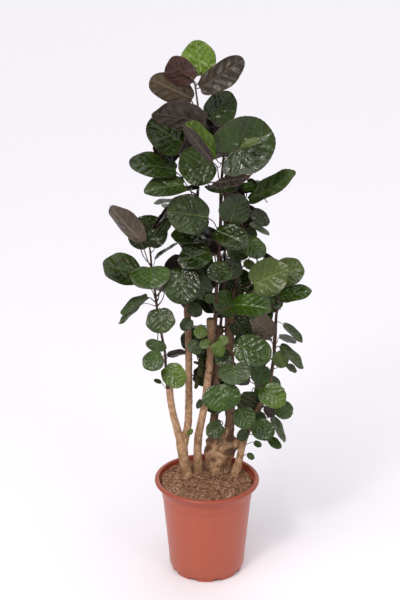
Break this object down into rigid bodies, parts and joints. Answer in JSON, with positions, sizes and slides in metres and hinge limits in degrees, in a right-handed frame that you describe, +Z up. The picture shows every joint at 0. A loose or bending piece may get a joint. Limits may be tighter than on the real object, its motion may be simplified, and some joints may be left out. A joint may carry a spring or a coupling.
{
  "type": "potted aralia plant",
  "caption": "A tall branched aralia with thick glossy round leaves on woody stems, growing in a plastic nursery pot filled with potting soil; an indoor floor plant",
  "frame": {"origin": "centre of the pot's flat underside, on the floor", "axes": "+Z up along the plant, -Y the plant's front, +X its right as seen from the front"},
  "size_m": [0.4476, 0.3412, 1.2172],
  "materials": {
    "pot": "satin moulded plastic, terracotta colour",
    "soil": "loose fibrous potting soil",
    "bark": "dry bark, light brown",
    "leaf": "thick glossy leaf, dark green above and purple-brown below"
  },
  "bodies": {
    "root": {"leaf_01": "leaf", "leaf_02": "leaf", "leaf_03": "leaf", "leaf_04": "leaf", "leaf_05": "leaf", "leaf_06": "leaf", "leaf_07": "leaf", "leaf_08": "leaf", "leaf_09": "leaf", "leaf_10": "leaf", "leaf_11": "leaf", "leaf_12": "leaf", "leaf_13": "leaf", "leaf_14": "leaf", "leaf_15": "leaf", "leaf_16": "leaf", "leaf_17": "leaf", "leaf_18": "leaf", "leaf_19": "leaf", "leaf_20": "leaf", "leaf_21": "leaf", "leaf_22": "leaf", "leaf_23": "leaf", "leaf_24": "leaf", "leaf_25": "leaf", "leaf_26": "leaf", "leaf_27": "leaf", "leaf_28": "leaf", "leaf_29": "leaf", "leaf_30": "leaf", "leaf_31": "leaf", "leaf_32": "leaf", "leaf_33": "leaf", "leaf_34": "leaf", "leaf_35": "leaf", "leaf_36": "leaf", "leaf_37": "leaf", "leaf_38": "leaf", "leaf_39": "leaf", "leaf_40": "leaf", "leaf_41": "leaf", "leaf_42": "leaf", "leaf_43": "leaf", "leaf_44": "leaf", "leaf_45": "leaf", "leaf_46": "leaf", "leaf_47": "leaf", "leaf_48": "leaf", "leaf_49": "leaf", "leaf_50": "leaf", "leaf_51": "leaf", "leaf_52": "leaf", "leaf_53": "leaf", "leaf_54": "leaf", "pot": "pot", "soil": "soil", "stem_burl": "bark", "stem_left": "bark", "stem_middle": "bark", "stem_right": "bark"}
  },
  "joints": []
}
